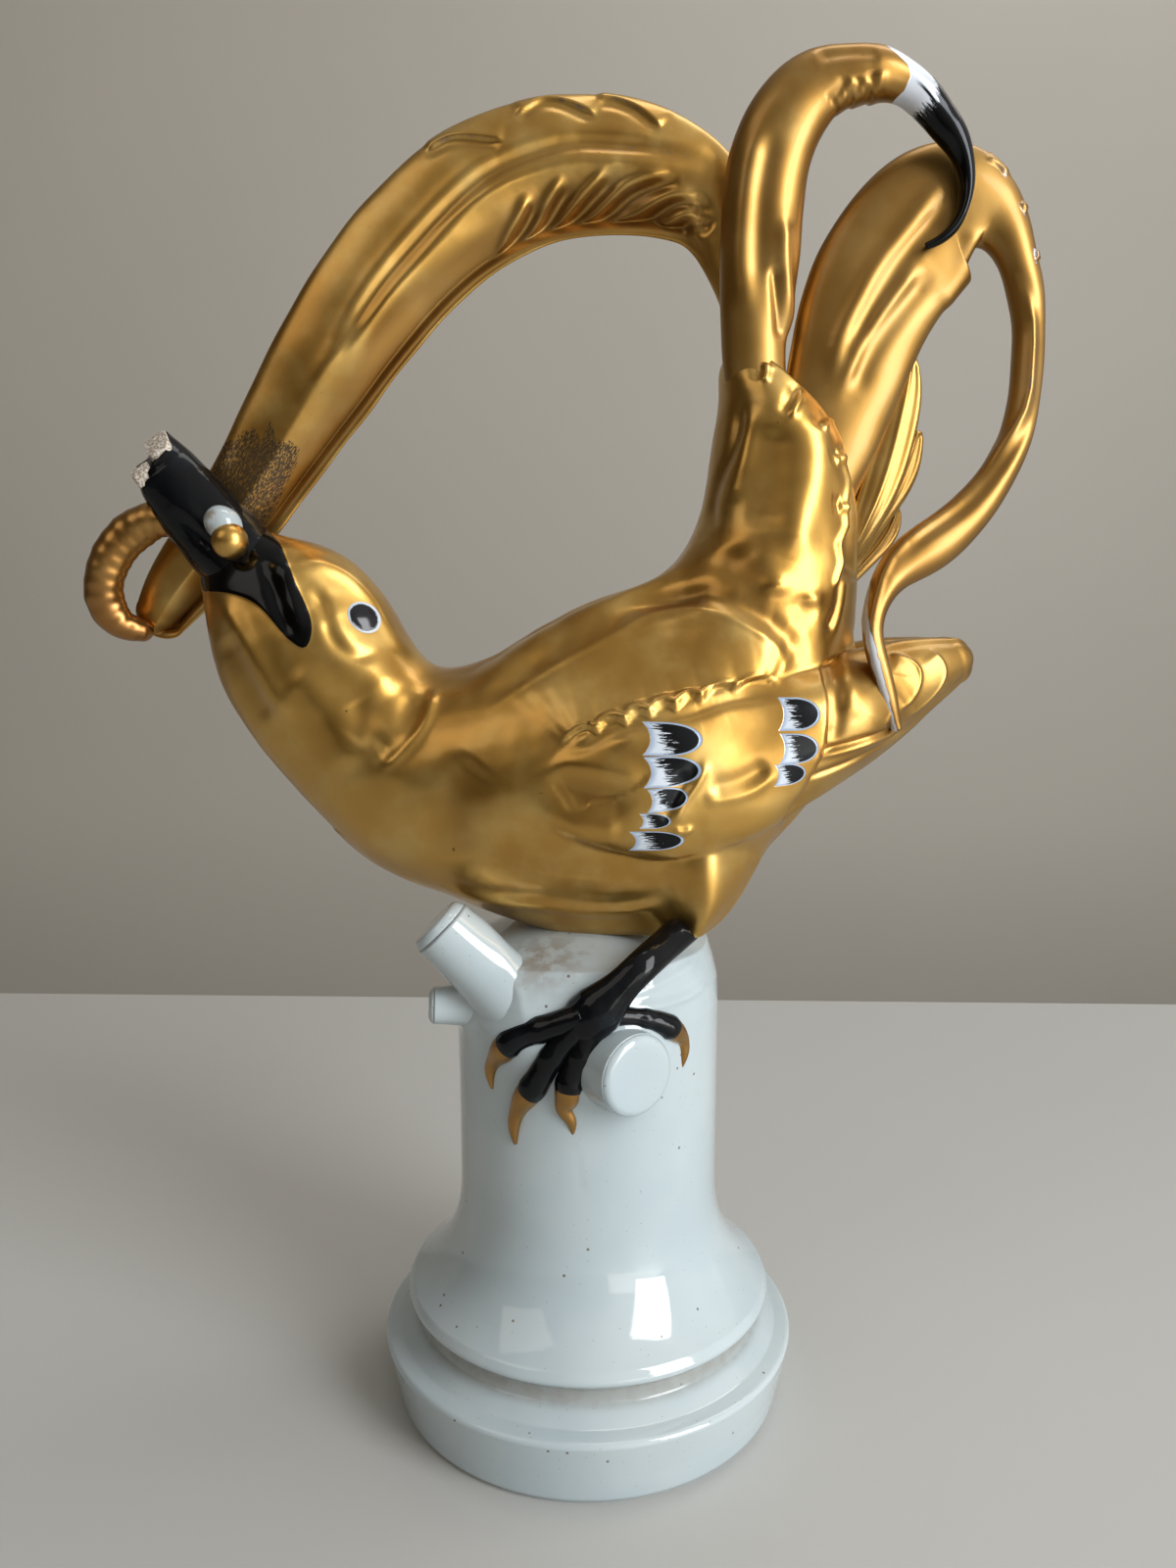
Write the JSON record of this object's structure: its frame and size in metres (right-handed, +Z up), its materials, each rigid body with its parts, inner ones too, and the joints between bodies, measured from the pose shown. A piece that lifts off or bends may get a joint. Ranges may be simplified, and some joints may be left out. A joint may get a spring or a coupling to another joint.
{
  "type": "bird of paradise figurine",
  "caption": "Long-plumed bird of paradise crouching on a round flanged column, its plumes looping forward to the beak and back to the wing tips.",
  "frame": {"origin": "middle of the column's flat underside", "axes": "+Z up the column, -X the way the bird's head lies, -Y the side that faces the viewer"},
  "size_m": [0.3464, 0.16, 0.4905],
  "materials": {
    "gilding": "gloss",
    "white_glaze": "gloss",
    "black_glaze": "gloss",
    "bare_break": "matte"
  },
  "bodies": {
    "root": {"bird_of_paradise_figurine": "gilding"}
  },
  "joints": []
}
